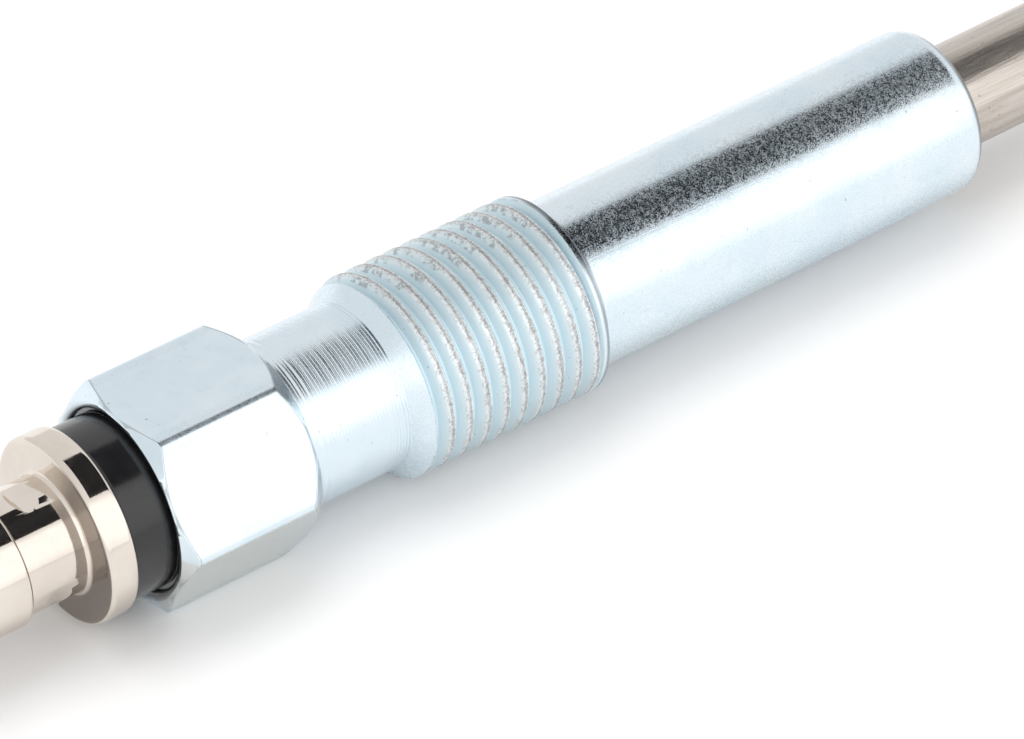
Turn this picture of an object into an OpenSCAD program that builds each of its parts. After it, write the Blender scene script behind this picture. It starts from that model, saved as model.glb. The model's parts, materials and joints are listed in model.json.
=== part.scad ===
// Diesel glow plug, lying on one flat of its hexagon.
// The axis runs along +X from the terminal to the heater tip. x = 0 is where the full thread starts.

/* [Hexagon] */
// Width of the hexagon across its flats
hex_af = 12; // [11:0.5:15]
// Length of the hexagon between its end faces
hex_len = 9.3; // [8:0.1:14]
// Depth that the chamfer at the terminal end takes off each corner
hex_front_chamfer = 0.65; // [0.3:0.05:1.2]
// Depth that the chamfer at the neck end takes off each corner
hex_back_chamfer = 1.2; // [0.4:0.05:1.6]
// Radial width of both chamfers, measured from the corners inwards
hex_chamfer_w = 1.05; // [0.8:0.05:1.4]

/* [Neck] */
// Diameter of the turned neck behind the hexagon
neck_d = 10; // [9:0.1:10.6]
// Length of the neck from the hexagon to the full thread
neck_len = 7.55; // [4:0.05:14]
// Radius of the fillet where the neck meets the hexagon
neck_fillet = 0.6; // [0.2:0.1:0.9]

/* [Thread] */
// Outside diameter of the thread
thread_d = 12; // [11.5:0.1:12]
// Length of thread at full diameter
thread_len = 12; // [8:0.5:24]
// Pitch of the thread's ridges
thread_pitch = 1.25; // [1:0.25:1.5]
// Length of the cone from the neck up to the thread
thread_runout = 0.9; // [0.4:0.1:1.5]
// Length of the chamfer from the thread down to the barrel
thread_chamfer = 0.65; // [0.3:0.05:1.2]

/* [Barrel] */
// Diameter of the smooth barrel in front of the thread
barrel_d = 10.1; // [9.4:0.1:10.6]
// Length of the barrel
barrel_len = 27.75; // [24:0.25:50]
// Radius of the round at the end of the barrel
barrel_round = 1.1; // [0.3:0.1:1.2]

/* [Shell bores] */
// Diameter of the bore that clears the centre rod
rod_bore_d = 5; // [4.4:0.1:5.6]
// Diameter of the counterbore that holds the o-ring and the insulator
counterbore_d = 7.6; // [6.8:0.1:8.4]
// Depth of the shallow recess in the hexagon's end face
recess_depth = 0.4; // [0.2:0.1:0.8]

/* [Heater sheath] */
// Outside diameter of the heater sheath
sheath_d = 6.3; // [6:0.1:7]
// Wall of the heater sheath
sheath_wall = 0.8; // [0.5:0.05:0.9]
// Length of the sheath that stands out of the barrel
sheath_out = 22; // [18:0.5:40]
// Length of the sheath that is pressed into the barrel
sheath_press = 20; // [16:0.5:23]

/* [Coils and rod] */
// Mean diameter of both coils
coil_d = 2.7; // [2.5:0.05:3]
// Diameter of the coil wire
wire_d = 0.4; // [0.3:0.02:0.5]
// Pitch of the heating coil near the tip
heating_pitch = 0.85; // [0.7:0.05:1]
// Turns of the heating coil
heating_turns = 14; // [8:1:16]
// Pitch of the regulating coil behind it
regulating_pitch = 1.2; // [0.8:0.05:1.4]
// Turns of the regulating coil
regulating_turns = 9; // [5:1:10]
// Diameter of the centre rod
rod_d = 3.6; // [3.2:0.1:3.8]
// Length of the rod's thin tip inside the regulating coil
rod_tip_len = 3; // [2:0.5:5]
// Depth of the rod inside the terminal
rod_in_terminal = 9.5; // [7:0.5:11]

/* [Terminal] */
// Diameter of the flange that clamps the insulator
flange_d = 11; // [10:0.1:11.8]
// Thickness of the flange
flange_t = 1.85; // [1:0.05:3]
// Diameter of the waist between flange and bullet
waist_d = 6.9; // [6.6:0.1:7.2]
// Length of the waist
waist_len = 3.75; // [3:0.25:5]
// Width across the flats that the crimp presses into the waist
crimp_af = 6.3; // [6:0.1:6.5]
// Length of the crimped flats
crimp_len = 2.3; // [1.5:0.1:2.8]
// Diameter of the bullet that the connector slides on
bullet_d = 7.6; // [7.4:0.1:9]
// Length of the bullet
bullet_len = 8.2; // [7:0.2:14]
// Radius of the round at the free end of the bullet
bullet_round = 1.6; // [0.5:0.1:1.6]
// Radius of the round where the bullet meets the waist
shoulder_round = 0.3; // [0.1:0.05:0.3]

/* [Insulator and seals] */
// Diameter of the insulator's collar
collar_d = 10.3; // [9.6:0.1:10.4]
// Length of the collar that shows between flange and hexagon
collar_show = 2.35; // [1:0.05:4]
// Length of the insulator's spigot in the counterbore
spigot_len = 3; // [2:0.1:4]
// Edge break on the collar and on the flange
edge_break = 0.15; // [0.05:0.05:0.3]
// Length of the rubber seal in the sheath's mouth
seal_len = 3; // [2:0.5:5]

/* [Fits] */
// Radial clearance of pieces that slide together
slide_gap = 0.05; // [0.02:0.01:0.1]
// Radial clearance of pieces that are pressed together
press_gap = 0.01; // [0.005:0.005:0.02]
// Radial gap round the collar in its recess
recess_gap = 0.2; // [0.1:0.05:0.25]

/* [Hidden] */
$fn = 96;

// Facets of the wire: sides of its section and steps in one turn
wire_sides = 8;
turn_steps = 18;
// Overshoot that keeps cutting faces apart
over = 1;

// Places along the axis, from the terminal to the tip
hex_end = -neck_len;
hex_face = hex_end - hex_len;
flange_back = hex_face - collar_show;
flange_front = flange_back - flange_t;
bullet_start = flange_front - waist_len;
bullet_end = bullet_start - bullet_len;
barrel_start = thread_len + thread_chamfer;
barrel_end = barrel_start + barrel_len;
sheath_start = barrel_end - sheath_press;
sheath_tip = barrel_end + sheath_out;
collar_seat = hex_face + recess_depth;
spigot_end = collar_seat + spigot_len;
seal_end = sheath_start + seal_len;

// Radii that follow from the sizes above
hex_corner_r = hex_af / sqrt(3);
chamfer_r = hex_corner_r - hex_chamfer_w;
sheath_r = sheath_d / 2;
sheath_in_r = sheath_r - sheath_wall;
rod_tip_r = (coil_d - wire_d) / 2 - slide_gap;
coil_out_r = (coil_d + wire_d) / 2 + slide_gap;

// The thread's ridges: a flat crest, flanks that lean 30 degrees, and grooves whose floor stays above the neck
// and the barrel. The first crest starts where the thread is full, and the last groove runs out in the chamfer.
thread_crest = thread_pitch / 4;
thread_root_r = max(thread_d / 2 - 0.53 * thread_pitch, max(neck_d, barrel_d) / 2 + slide_gap);
groove_depth = thread_d / 2 - thread_root_r;
groove_w = thread_pitch - thread_crest;
groove_count = ceil((thread_len - thread_crest) / thread_pitch);

// The o-ring fills the counterbore round the rod and is squeezed behind the spigot
ring_section_d = (counterbore_d - rod_d) / 2 - 2 * press_gap;
ring_mean_d = (counterbore_d + rod_d) / 2;
counterbore_end = spigot_end + ring_section_d + 2 * press_gap;

// The coils are placed back from the inside of the tip, and the rod ends in the first of them
heating_len = heating_pitch * heating_turns;
regulating_len = regulating_pitch * regulating_turns;
heating_end = sheath_tip - sheath_r - wire_d / 2;
heating_start = heating_end - heating_len;
regulating_end = heating_start - slide_gap;
regulating_start = regulating_end - regulating_len;
rod_shoulder = regulating_start - wire_d / 2 - slide_gap;
pocket_end = heating_end + wire_d / 2 + slide_gap;
rod_end = regulating_start + rod_tip_len;
rod_start = flange_back - rod_in_terminal;
// Turn that keeps the welded ends of the two coils just apart
weld_angle = slide_gap / (coil_d / 2) * 180 / PI;

// Turns a shape drawn along +Z to run along the axis from x
module along_axis(x) {
    translate([x, 0, 0]) rotate([0, 90, 0]) children();
}

module rod_shape(from_x, to_x, r) {
    along_axis(from_x) cylinder(h = to_x - from_x, r = r);
}

// Turns half a section, drawn with the radius across and the axis up, into a solid
module turned() {
    along_axis(0) rotate_extrude() children();
}

module stretch(from_x, to_x, r) {
    translate([0, from_x]) square([r, to_x - from_x]);
}

// A stretch of round bar whose edge at to_x is rounded, on either side of from_x
module rounded_stretch(from_x, to_x, r, round_r) {
    way = sign(to_x - from_x);
    inner_x = to_x - way * round_r;
    stretch(min(from_x, inner_x), max(from_x, inner_x), r);
    stretch(min(from_x, to_x), max(from_x, to_x), r - round_r);
    translate([r - round_r, inner_x]) circle(round_r);
}

// A stretch that ends in a full half ball towards +X
module domed_stretch(from_x, to_x, r) {
    stretch(from_x, to_x - r, r);
    translate([0, to_x - r]) intersection() {
        circle(r);
        square(r);
    }
}

// A stretch with both edges broken by a small chamfer
module broken_stretch(from_x, to_x, r, break_w) {
    polygon([[0, from_x], [r - break_w, from_x], [r, from_x + break_w],
             [r, to_x - break_w], [r - break_w, to_x], [0, to_x]]);
}

module hex_prism(from_x, to_x, af) {
    along_axis(from_x) rotate([0, 0, 30]) cylinder(h = to_x - from_x, r = af / sqrt(3), $fn = 6);
}

module hexagon() {
    intersection() {
        hex_prism(hex_face, hex_end, hex_af);
        turned() polygon([[0, hex_face], [chamfer_r, hex_face], [hex_corner_r, hex_face + hex_front_chamfer],
                          [hex_corner_r, hex_end - hex_back_chamfer], [chamfer_r, hex_end], [0, hex_end]]);
    }
}

module neck_profile() {
    neck_r = neck_d / 2;
    stretch(hex_face, 0, neck_r);
    translate([neck_r, hex_end]) difference() {
        square(neck_fillet);
        translate([neck_fillet, neck_fillet]) circle(neck_fillet);
    }
}

// One groove between two ridges, cut a little past the crest and centred on it
module groove_profile() {
    clear = thread_crest / 2;
    top_w = groove_w / 2 + clear * tan(30);
    floor_w = groove_w / 2 - groove_depth * tan(30);
    polygon([[clear, -top_w], [clear, top_w], [-groove_depth, floor_w], [-groove_depth, -floor_w]]);
}

module thread_profile() {
    difference() {
        polygon([[0, -thread_runout], [neck_d / 2, -thread_runout], [thread_d / 2, 0], [thread_d / 2, thread_len],
                 [barrel_d / 2, barrel_start], [0, barrel_start]]);
        for (i = [0 : groove_count - 1])
            translate([thread_d / 2, thread_crest + groove_w / 2 + i * thread_pitch]) groove_profile();
    }
}

module shell() {
    color("#c8d5db") difference() {
        union() {
            hexagon();
            turned() {
                neck_profile();
                thread_profile();
                rounded_stretch(barrel_start, barrel_end, barrel_d / 2, barrel_round);
            }
        }
        rod_shape(hex_face - over, collar_seat, collar_d / 2 + recess_gap);
        rod_shape(hex_face - over, counterbore_end, counterbore_d / 2);
        rod_shape(hex_face - over, barrel_end + over, rod_bore_d / 2);
        rod_shape(sheath_start, barrel_end + over, sheath_r + press_gap);
    }
}

module heater_sheath() {
    color("#9c9186") difference() {
        turned() domed_stretch(sheath_start, sheath_tip, sheath_r);
        turned() domed_stretch(sheath_start - over, sheath_tip - sheath_wall, sheath_in_r);
    }
}

// Ring of points round the wire at a given number of turns from the coil's start
function wire_ring(start_x, pitch, turns) =
    let (angle = 360 * turns,
         out = [0, cos(angle), sin(angle)],
         lead = pitch / 360 * 180 / PI,
         along = [lead, -coil_d / 2 * sin(angle), coil_d / 2 * cos(angle)],
         side = cross(along / norm(along), out),
         centre = [start_x + pitch * turns, 0, 0] + out * coil_d / 2)
    [for (k = [0 : wire_sides - 1])
        let (a = 360 * k / wire_sides) centre + (out * cos(a) + side * sin(a)) * wire_d / 2];

module coil(start_x, pitch, turns) {
    steps = turns * turn_steps;
    rings = [for (i = [0 : steps]) wire_ring(start_x, pitch, i / turn_steps)];
    points = [for (ring = rings) each ring];
    sides = [for (i = [0 : steps - 1], k = [0 : wire_sides - 1])
        let (a = i * wire_sides + k,
             b = i * wire_sides + (k + 1) % wire_sides)
        [a, a + wire_sides, b + wire_sides, b]];
    first_cap = [for (k = [0 : wire_sides - 1]) k];
    last_cap = [for (k = [wire_sides - 1 : -1 : 0]) steps * wire_sides + k];
    polyhedron(points, concat(sides, [first_cap, last_cap]));
}

module heating_coil() {
    color("#8a8f94") rotate([weld_angle, 0, 0]) coil(heating_start, heating_pitch, heating_turns);
}

module regulating_coil() {
    color("#a09a90") coil(regulating_start, regulating_pitch, regulating_turns);
}

// Packed powder: it fills the sheath round the rod and on both sides of the coils
module magnesia_fill() {
    color("#efece4") difference() {
        turned() domed_stretch(seal_end, sheath_tip - sheath_wall - press_gap, sheath_in_r - press_gap);
        rod_shape(seal_end - over, rod_shoulder, rod_d / 2 + press_gap);
        rod_shape(seal_end - over, rod_end + press_gap, rod_tip_r + press_gap);
        difference() {
            rod_shape(rod_shoulder, pocket_end, coil_out_r);
            rod_shape(rod_shoulder - over, pocket_end + over, rod_tip_r + press_gap);
        }
    }
}

module sheath_seal() {
    color("#2b2b2b") difference() {
        rod_shape(sheath_start, seal_end, sheath_in_r - press_gap);
        rod_shape(sheath_start - over, seal_end + over, rod_d / 2 + press_gap);
    }
}

module centre_rod() {
    color("#8d9094") union() {
        rod_shape(rod_start, rod_shoulder, rod_d / 2);
        rod_shape(rod_start, rod_end, rod_tip_r);
    }
}

module o_ring() {
    color("#303030") turned()
        translate([ring_mean_d / 2, spigot_end + ring_section_d / 2 + press_gap]) circle(d = ring_section_d);
}

// Collar and spigot that keep the terminal and the rod off the shell
module insulator() {
    color("#1f1f21") difference() {
        union() {
            turned() broken_stretch(flange_back, collar_seat, collar_d / 2, edge_break);
            rod_shape(flange_back, spigot_end, counterbore_d / 2 - slide_gap);
        }
        rod_shape(flange_back - over, spigot_end + over, rod_d / 2 + slide_gap);
    }
}

// Six flats pressed into the waist, which lock the terminal on the rod
module crimp() {
    waist_mid = flange_front - waist_len / 2;
    difference() {
        rod_shape(waist_mid - crimp_len / 2, waist_mid + crimp_len / 2, bullet_d / 2);
        hex_prism(waist_mid - crimp_len / 2 - over, waist_mid + crimp_len / 2 + over, crimp_af);
    }
}

module terminal() {
    color("#d9d2c6") difference() {
        turned() {
            broken_stretch(flange_front, flange_back, flange_d / 2, edge_break);
            stretch(bullet_start, flange_front, waist_d / 2);
            rounded_stretch(bullet_start - bullet_len / 2, bullet_start, bullet_d / 2, shoulder_round);
            rounded_stretch(bullet_start - bullet_len / 2, bullet_end, bullet_d / 2, bullet_round);
        }
        crimp();
        rod_shape(rod_start - press_gap, flange_back + over, rod_d / 2 + press_gap);
    }
}

shell();
heater_sheath();
heating_coil();
regulating_coil();
magnesia_fill();
sheath_seal();
centre_rod();
o_ring();
insulator();
terminal();
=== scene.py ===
import json
import math

import bpy
from mathutils import Matrix, Vector


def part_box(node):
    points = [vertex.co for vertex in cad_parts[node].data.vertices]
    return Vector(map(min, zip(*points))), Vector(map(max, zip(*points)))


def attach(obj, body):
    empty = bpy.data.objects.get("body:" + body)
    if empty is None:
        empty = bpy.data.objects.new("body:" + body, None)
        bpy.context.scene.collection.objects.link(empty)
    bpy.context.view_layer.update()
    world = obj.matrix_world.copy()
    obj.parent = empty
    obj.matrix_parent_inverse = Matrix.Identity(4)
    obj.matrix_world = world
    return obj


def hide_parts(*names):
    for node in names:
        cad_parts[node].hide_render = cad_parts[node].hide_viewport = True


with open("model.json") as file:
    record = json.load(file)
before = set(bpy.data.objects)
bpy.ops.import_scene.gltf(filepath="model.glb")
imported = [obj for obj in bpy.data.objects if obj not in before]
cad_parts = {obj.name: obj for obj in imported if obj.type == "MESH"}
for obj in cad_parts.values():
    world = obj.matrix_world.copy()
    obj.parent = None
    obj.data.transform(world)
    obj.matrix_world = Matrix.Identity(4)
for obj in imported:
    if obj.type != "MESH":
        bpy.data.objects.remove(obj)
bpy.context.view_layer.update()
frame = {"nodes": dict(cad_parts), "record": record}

# Sizes in millimetres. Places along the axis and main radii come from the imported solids.
MM = 0.001
MOUNTS = {mount["name"]: mount for mount in frame["record"]["mounts"]}


def span(node):
    """First and last place of a node along the plug's axis, in millimetres."""
    low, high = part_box(node)
    return low.x / MM, high.x / MM


def half_width(node):
    """Largest radius of a round node, in millimetres."""
    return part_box(node)[1].z / MM


def mount_size(name, key):
    """Size of a mount in the part's record, in millimetres."""
    return MOUNTS[name]["dims"][key]


HEX_FACE, BARREL_END = span("shell")
SHEATH_START, SHEATH_TIP = span("heater_sheath")
BULLET_END, FLANGE_BACK = span("terminal")
SPIGOT_END = span("insulator")[1]
COUNTERBORE_END = span("o_ring")[1]
ROD_START = span("centre_rod")[0]

THREAD_R = mount_size("thread", "r_mm")
THREAD_LEN = 12.0
BARREL_R = mount_size("barrel", "r_mm")
BULLET_R = mount_size("terminal", "r_mm")
SHEATH_R = half_width("heater_sheath")
FLANGE_R = half_width("terminal")
COLLAR_R = half_width("insulator")
ROD_R = half_width("centre_rod")
COUNTERBORE_R = half_width("o_ring")

HEX_AF = 2 * THREAD_R
HEX_LEN = 9.3
HEX_END = HEX_FACE + HEX_LEN
HEX_CORNER_R = HEX_AF / math.sqrt(3)
HEX_CHAMFER_DROP = 1.05
HEX_CHAMFER_R = HEX_CORNER_R - HEX_CHAMFER_DROP
HEX_FRONT_CHAMFER = 0.65
HEX_BACK_CHAMFER = 1.2
HEX_EDGE_ROUND = 0.34
HEX_EDGE_STEPS = 6

NECK_R = 5.0
NECK_FILLET = 0.6
NECK_FILLET_START = 205
NECK_FILLET_STEPS = 8
NECK_OVERLAP = 0.1
GROOVE_PITCH = 0.21
GROOVE_DEPTH = 0.021
GROOVE_SWING = 0.25
GROOVE_BEAT = 2.3
GROOVE_STEPS = 6
WIDE_GROOVES = 2
WIDE_GROOVE_PITCH = 0.42
WIDE_GROOVE_DEPTH = 2 * GROOVE_DEPTH

THREAD_PITCH = 1.25
THREAD_DEPTH = 0.6
THREAD_FLANK = math.radians(30)
THREAD_ROOT_ROUND = 0.1
THREAD_ROOT_STEPS = 5
LEFT_LIP_ROUND = 0.26
LEFT_LIP_PLACE = -0.02
LEFT_LIP_TOP = 97
RIGHT_LIP_ROUND = 0.2
RIGHT_LIP_GAP = 0.03
RIGHT_LIP_TOP = 85
LIP_STEPS = 6
SEAM_PLACE = 0.07
SEAM_DEPTH = 0.03
SEAM_SIDE = 0.04
SEAM_SIDE_DEPTH = 0.7 * SEAM_DEPTH
THREAD_RUNOUT = 0.9
THREAD_CHAMFER = 0.65
CREST_ON_TOP = 0.82
TURNS_BEFORE = 3
TURNS_AFTER = 4
SAW_OVERLAP = 0.2
END_RING = 0.35
END_RING_RISE = 0.3
END_RING_STEP = 0.02
BLANK_REACH = 0.12
BLANK_OVER = 0.1

CORE_SHARE = 0.3
BARREL_START = THREAD_LEN + THREAD_CHAMFER
BARREL_ROUND = 1.1
BARREL_ROUND_STEPS = 10
RECESS_DEPTH = 0.4
RECESS_GAP = 0.2
RECESS_SEAT = HEX_FACE + RECESS_DEPTH
MOUTH_R = HEX_CHAMFER_R + 0.04
MOUTH_DEPTH = RECESS_DEPTH - 0.02
MOUTH_STEPS = 8
ROD_BORE_R = 2.5
SHEATH_WALL = 0.8
TIP_STEPS = 16
TIP_INNER_STEPS = 12

FLANGE_THICK = 1.85
FLANGE_FRONT = FLANGE_BACK - FLANGE_THICK
FLANGE_EDGE = 0.32
FLANGE_EDGE_STEPS = 4
FLANGE_EDGE_LAND = 0.06
WAIST_LEN = 3.75
WAIST_R = 3.45
WAIST_FILLET = 0.25
WAIST_FILLET_STEPS = 5
BULLET_START = FLANGE_FRONT - WAIST_LEN
BULLET_ROUND = 1.6
BULLET_ROUND_STEPS = 12
SHOULDER_ROUND = 0.3
SHOULDER_STEPS = 6
CRIMP_DEPTH = 0.22
CRIMP_DIE_R = 1.6
CRIMP_DIE_STEPS = 96
CRIMP_ANGLES = (2, 122, 242)
SLIDE_GAP = 0.05
COLLAR_EDGE = 0.15
COLLAR_EDGE_STEPS = 5

# Steps and start angle of each turned solid.
# They differ, so that no two edges coincide when solids are combined.
FINE_STEPS = 128
CORE_TURN = (FINE_STEPS, 0.3)
BORE_TURN = (FINE_STEPS, 1.1)
CHAMFER_TURN = (FINE_STEPS + 4, 0.4)
BLANK_TURN = (FINE_STEPS + 8, 0.7)
END_RING_TURN = (FINE_STEPS + 12, 1.9)
SHEATH_STEPS = 96
OVERSHOOT = 1.0
MERGE_DISTANCE = 0.0005


# Modelling with the editor's own tools

def in_edit_mode(piece):
    """Opens one piece in edit mode with all of it selected."""
    bpy.ops.object.select_all(action="DESELECT")
    piece.select_set(True)
    bpy.context.view_layer.objects.active = piece
    bpy.ops.object.mode_set(mode="EDIT")
    bpy.ops.mesh.select_all(action="SELECT")


def draw_outline(name, points):
    """Extrudes one vertex from point to point, so that the outline lies above the axis."""
    bpy.ops.object.select_all(action="DESELECT")
    bpy.ops.mesh.primitive_plane_add(size=1)
    piece = bpy.context.active_object
    piece.name = name
    in_edit_mode(piece)
    bpy.ops.mesh.merge(type="CENTER")
    pen = Vector((0, 0, 0))
    for index, (x, radius) in enumerate(points):
        step = Vector((x, 0, radius)) - pen
        if index == 0:
            bpy.ops.transform.translate(value=step)
        else:
            bpy.ops.mesh.extrude_vertices_move(TRANSFORM_OT_translate={"value": step})
        pen += step
    bpy.ops.object.mode_set(mode="OBJECT")
    return piece


def close_mesh(piece):
    """Merges doubles, drops loose edges and turns the faces outwards."""
    in_edit_mode(piece)
    bpy.ops.mesh.remove_doubles(threshold=MERGE_DISTANCE)
    bpy.ops.mesh.delete_loose()
    bpy.ops.mesh.select_all(action="SELECT")
    bpy.ops.mesh.normals_make_consistent(inside=False)
    bpy.ops.object.mode_set(mode="OBJECT")


def turn_about_axis(piece, degrees):
    """Turns all of a piece's mesh about the plug's axis and leaves it in edit mode."""
    in_edit_mode(piece)
    bpy.ops.transform.rotate(value=math.radians(degrees), orient_axis="X", center_override=(0, 0, 0))


def turn_outline(name, points, steps=FINE_STEPS, start=0.0):
    """Spins an outline of (x, radius) points round the plug's axis, from a start angle in degrees."""
    piece = draw_outline(name, points)
    turn_about_axis(piece, start)
    bpy.ops.mesh.spin(steps=steps, angle=2 * math.pi, center=(0, 0, 0), axis=(1, 0, 0))
    bpy.ops.object.mode_set(mode="OBJECT")
    close_mesh(piece)
    return piece


def apply_modifier(piece, kind, **settings):
    """Adds a modifier with its settings and applies it at once."""
    modifier = piece.modifiers.new(kind.lower(), kind)
    for key, value in settings.items():
        setattr(modifier, key, value)
    bpy.context.view_layer.objects.active = piece
    bpy.ops.object.modifier_apply(modifier=modifier.name)


def combine(piece, tool, operation):
    """Joins, cuts or trims a piece with a tool solid, which is used up."""
    apply_modifier(piece, "BOOLEAN", operation=operation, object=tool, solver="EXACT")
    bpy.data.objects.remove(tool)


def arc(centre, radius, start, end, count):
    """Points of an arc in the outline's plane, angles in degrees from +x towards the outside."""
    angles = [math.radians(start + (end - start) * i / count) for i in range(count + 1)]
    return [(centre[0] + radius * math.cos(a), centre[1] + radius * math.sin(a)) for a in angles]


def finish_piece(piece, replaced, material, smooth_angle=32):
    """Sets the shading, brings the piece from millimetres into the frame and seats it there."""
    bpy.ops.object.select_all(action="DESELECT")
    piece.select_set(True)
    bpy.context.view_layer.objects.active = piece
    piece.scale = (MM, MM, MM)
    bpy.ops.object.transform_apply(location=True, rotation=True, scale=True)
    bpy.ops.object.shade_smooth_by_angle(angle=math.radians(smooth_angle))
    apply_modifier(piece, "WEIGHTED_NORMAL", keep_sharp=True, weight=80)
    piece.data.materials.clear()
    piece.data.materials.append(material)
    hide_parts(replaced)
    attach(piece, "root")


# Shader building

def feed(tree, socket, value):
    """Links a socket to another, or sets it to a plain value."""
    if isinstance(value, bpy.types.NodeSocket):
        tree.links.new(value, socket)
    else:
        socket.default_value = value


def add_node(tree, kind, inputs=None, **settings):
    """Adds a node. Inputs are values, or the sockets that feed them."""
    node = tree.nodes.new(kind)
    for key, value in settings.items():
        setattr(node, key, value)
    for key, value in (inputs or {}).items():
        feed(tree, node.inputs[key], value)
    return node


def math_node(tree, operation, first, second=0.0):
    return add_node(tree, "ShaderNodeMath", {0: first, 1: second}, operation=operation).outputs[0]


def product(tree, first, second):
    return math_node(tree, "MULTIPLY", first, second)


def total(tree, first, second):
    return math_node(tree, "ADD", first, second)


def larger(tree, first, second):
    return math_node(tree, "MAXIMUM", first, second)


def mul_add(tree, value, factor, offset):
    node = add_node(tree, "ShaderNodeMath", {0: value, 1: factor, 2: offset}, operation="MULTIPLY_ADD")
    return node.outputs[0]


def remap(tree, value, low, high, to_low=0.0, to_high=1.0):
    """Smooth step from one level to another between two values."""
    inputs = {"Value": value, "From Min": low, "From Max": high, "To Min": to_low, "To Max": to_high}
    return add_node(tree, "ShaderNodeMapRange", inputs, interpolation_type="SMOOTHSTEP").outputs["Result"]


def between(tree, value, low, high, soft):
    """1 between two values, fading over a soft edge outside them."""
    rise = remap(tree, value, low - soft, low)
    fall = remap(tree, value, high, high + soft, 1.0, 0.0)
    return product(tree, rise, fall)


def mix_colour(tree, factor, first, second):
    # Sockets 0, 6 and 7 and output 2 are the Mix node's colour sockets.
    node = add_node(tree, "ShaderNodeMix", data_type="RGBA")
    for index, value in ((0, factor), (6, first), (7, second)):
        feed(tree, node.inputs[index], value)
    return node.outputs[2]


def stain(tree, colour, mask, strength, tint):
    """Lays a tint over a colour, as strong as a mask and a factor say."""
    return mix_colour(tree, product(tree, mask, strength), colour, tint)


def noise(tree, vector, scale, detail=3.0, rough=0.6):
    inputs = {"Vector": vector, "Scale": scale, "Detail": detail, "Roughness": rough}
    return add_node(tree, "ShaderNodeTexNoise", inputs).outputs["Fac"]


def wobble(tree, place, scale, reach):
    """Noise that swings by half of its reach to either side of zero."""
    return mul_add(tree, noise(tree, place, scale), reach, -reach / 2)


def stretch(tree, place, scale):
    return add_node(tree, "ShaderNodeMapping", {"Vector": place, "Scale": scale}).outputs[0]


def bump_normal(tree, height, distance):
    inputs = {"Height": height, "Distance": distance, "Strength": 1.0}
    return add_node(tree, "ShaderNodeBump", inputs).outputs["Normal"]


def new_group(name, inputs, outputs):
    """Starts a shader node group and returns its tree with its inputs' sockets and its output node."""
    tree = bpy.data.node_groups.new(name, "ShaderNodeTree")
    for label, kind, value in inputs:
        socket = tree.interface.new_socket(label, in_out="INPUT", socket_type=kind)
        if value is not None:
            socket.default_value = value
    for label, kind in outputs:
        tree.interface.new_socket(label, in_out="OUTPUT", socket_type=kind)
    return tree, tree.nodes.new("NodeGroupInput").outputs, tree.nodes.new("NodeGroupOutput")


COARSE_RATIO = 0.3
SMUDGE_RATIO = 3.1
DRIFT_LEVELS = (0.35, 0.65)
SMUDGE_LEVELS = (0.5, 0.75)
FLECK_EDGE = 0.04


def make_grain_group():
    """Height of the fine grain of a plated, drawn or moulded surface."""
    tree, given, result = new_group(
        "fine_grain",
        [("Vector", "NodeSocketVector", None), ("Scale", "NodeSocketFloat", 6000.0),
         ("Coarseness", "NodeSocketFloat", 0.3)],
        [("Height", "NodeSocketFloat")])
    fine = noise(tree, given["Vector"], given["Scale"], detail=2.0)
    coarse_scale = product(tree, given["Scale"], COARSE_RATIO)
    coarse = noise(tree, given["Vector"], coarse_scale, detail=2.0)
    coarse_part = product(tree, coarse, given["Coarseness"])
    tree.links.new(total(tree, fine, coarse_part), result.inputs["Height"])
    return tree


def make_tone_group():
    """Slow drift between two tones, with faint smudges."""
    tree, given, result = new_group(
        "tone_drift",
        [("Vector", "NodeSocketVector", None), ("Scale", "NodeSocketFloat", 200.0),
         ("First", "NodeSocketColor", (1, 1, 1, 1)), ("Second", "NodeSocketColor", (1, 1, 1, 1))],
        [("Color", "NodeSocketColor"), ("Smudge", "NodeSocketFloat")])
    drift = noise(tree, given["Vector"], given["Scale"])
    smudge_scale = product(tree, given["Scale"], SMUDGE_RATIO)
    smudge = noise(tree, given["Vector"], smudge_scale, detail=5.0, rough=0.7)
    colour = mix_colour(tree, remap(tree, drift, *DRIFT_LEVELS), given["First"], given["Second"])
    tree.links.new(colour, result.inputs["Color"])
    tree.links.new(remap(tree, smudge, *SMUDGE_LEVELS), result.inputs["Smudge"])
    return tree


def make_fleck_group():
    """Scattered small irregular flecks."""
    tree, given, result = new_group(
        "flecks",
        [("Vector", "NodeSocketVector", None), ("Scale", "NodeSocketFloat", 2500.0),
         ("Threshold", "NodeSocketFloat", 0.7)],
        [("Mask", "NodeSocketFloat")])
    fine = noise(tree, given["Vector"], given["Scale"], detail=2.0)
    full = total(tree, given["Threshold"], FLECK_EDGE)
    step = {"Value": fine, "From Min": given["Threshold"], "From Max": full}
    mask = add_node(tree, "ShaderNodeMapRange", step)
    tree.links.new(mask.outputs["Result"], result.inputs["Mask"])
    return tree


GRAIN = make_grain_group()
TONE = make_tone_group()
FLECKS = make_fleck_group()


def place_group(tree, group, inputs):
    """Places a node group in a material and returns its outputs."""
    return add_node(tree, "ShaderNodeGroup", inputs, node_tree=group).outputs


def tone_of(tree, place, first, second, scale):
    return place_group(tree, TONE, {"Vector": place, "Scale": scale, "First": first, "Second": second})


def grain_of(tree, place, scale, coarseness):
    return place_group(tree, GRAIN, {"Vector": place, "Scale": scale, "Coarseness": coarseness})["Height"]


def flecks_of(tree, place, scale, threshold):
    return place_group(tree, FLECKS, {"Vector": place, "Scale": scale, "Threshold": threshold})["Mask"]


def new_material(name):
    """A material with its tree, its shader and the object coordinates."""
    material = bpy.data.materials.new(name)
    material.use_nodes = True
    tree = material.node_tree
    shader = tree.nodes["Principled BSDF"]
    place = tree.nodes.new("ShaderNodeTexCoord").outputs["Object"]
    return material, tree, shader, place


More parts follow.
